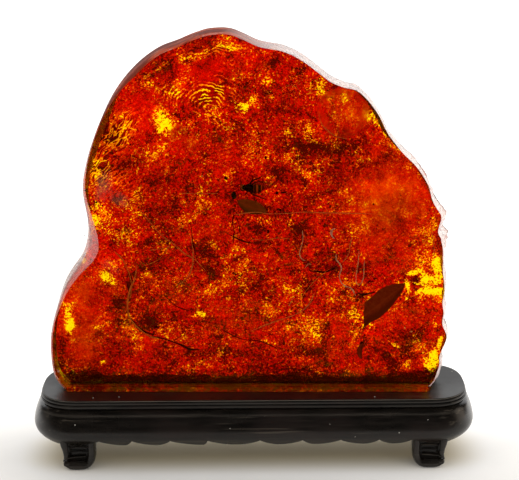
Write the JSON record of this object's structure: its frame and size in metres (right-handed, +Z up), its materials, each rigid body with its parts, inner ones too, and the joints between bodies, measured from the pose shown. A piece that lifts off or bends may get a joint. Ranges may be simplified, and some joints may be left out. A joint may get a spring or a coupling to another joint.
{
  "type": "polished amber slab with inclusions on a wooden stand",
  "caption": "Upright slab of clear red and golden amber with sealed insect and leaf scraps, polished in front, standing on a dark carved wooden stand with scroll feet.",
  "frame": {"origin": "centre of the stand on the surface it stands on, at the bottom of the scroll feet", "axes": "+X along the slab to the right seen from the front, +Y to the back through the slab's thickness, +Z up"},
  "size_m": [0.222, 0.07, 0.2163],
  "materials": {
    "amber": "polished",
    "leaf": "matte",
    "insect": "satin",
    "seed": "satin",
    "lacquered_wood": "satin"
  },
  "bodies": {
    "root": {"amber_front": "amber", "amber_back": "amber", "leaf_long": "leaf", "leaf_oval": "leaf", "leaf_scrap": "leaf", "insect": "insect", "seed": "seed", "stand_top": "lacquered_wood", "stand_apron": "lacquered_wood", "foot_front_left": "lacquered_wood", "foot_front_right": "lacquered_wood", "foot_back_left": "lacquered_wood", "foot_back_right": "lacquered_wood"}
  },
  "joints": []
}
